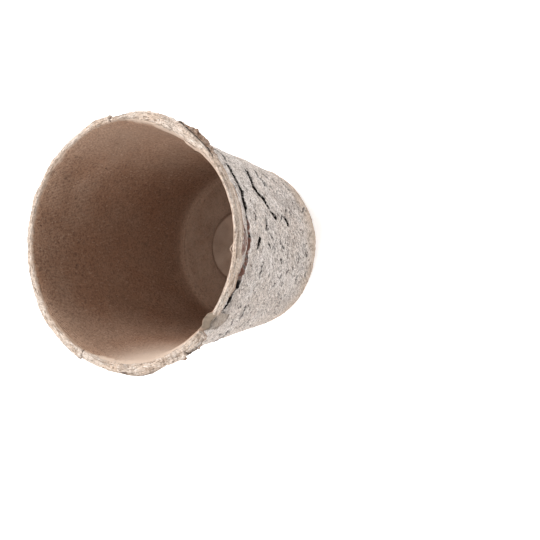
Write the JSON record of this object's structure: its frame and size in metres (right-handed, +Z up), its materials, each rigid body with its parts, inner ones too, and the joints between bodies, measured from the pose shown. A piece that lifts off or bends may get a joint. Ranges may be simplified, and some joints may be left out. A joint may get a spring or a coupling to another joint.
{
  "type": "peat pot",
  "caption": "Round tapered seedling pot of moulded peat fibre, with a ragged turned-over lip and a hollow pressed into its base.",
  "frame": {"origin": "middle of the base on the surface that the pot stands on", "axes": "+Z up the pot's axis to its open mouth; -Y is the front, where a short length of the lip is torn off and the lip beside it gapes"},
  "size_m": [0.0803, 0.0804, 0.073],
  "materials": {
    "base_felt": "coarse matt warm straw-brown peat felt",
    "wall_felt": "rough matt grey-beige peat felt with creases and small cracks",
    "screen_side_felt": "smooth matt brown peat felt with a faint screen pattern",
    "lip_felt": "pressed pale cream peat felt with torn edges",
    "torn_core_felt": "loose torn reddish-brown peat fibre"
  },
  "bodies": {
    "root": {"base_ply": "base_felt", "outer_wall_ply": "wall_felt", "floor_ply": "screen_side_felt", "inner_wall_ply": "screen_side_felt", "lip_left_pressed": "lip_felt", "lip_front_gaping": "lip_felt", "lip_front_flap": "lip_felt", "lip_right_thin": "lip_felt", "lip_right_flap": "lip_felt", "lip_back_pressed": "lip_felt", "lip_back_gaping": "lip_felt", "torn_core": "torn_core_felt", "lip_shreds": "lip_felt"}
  },
  "joints": []
}
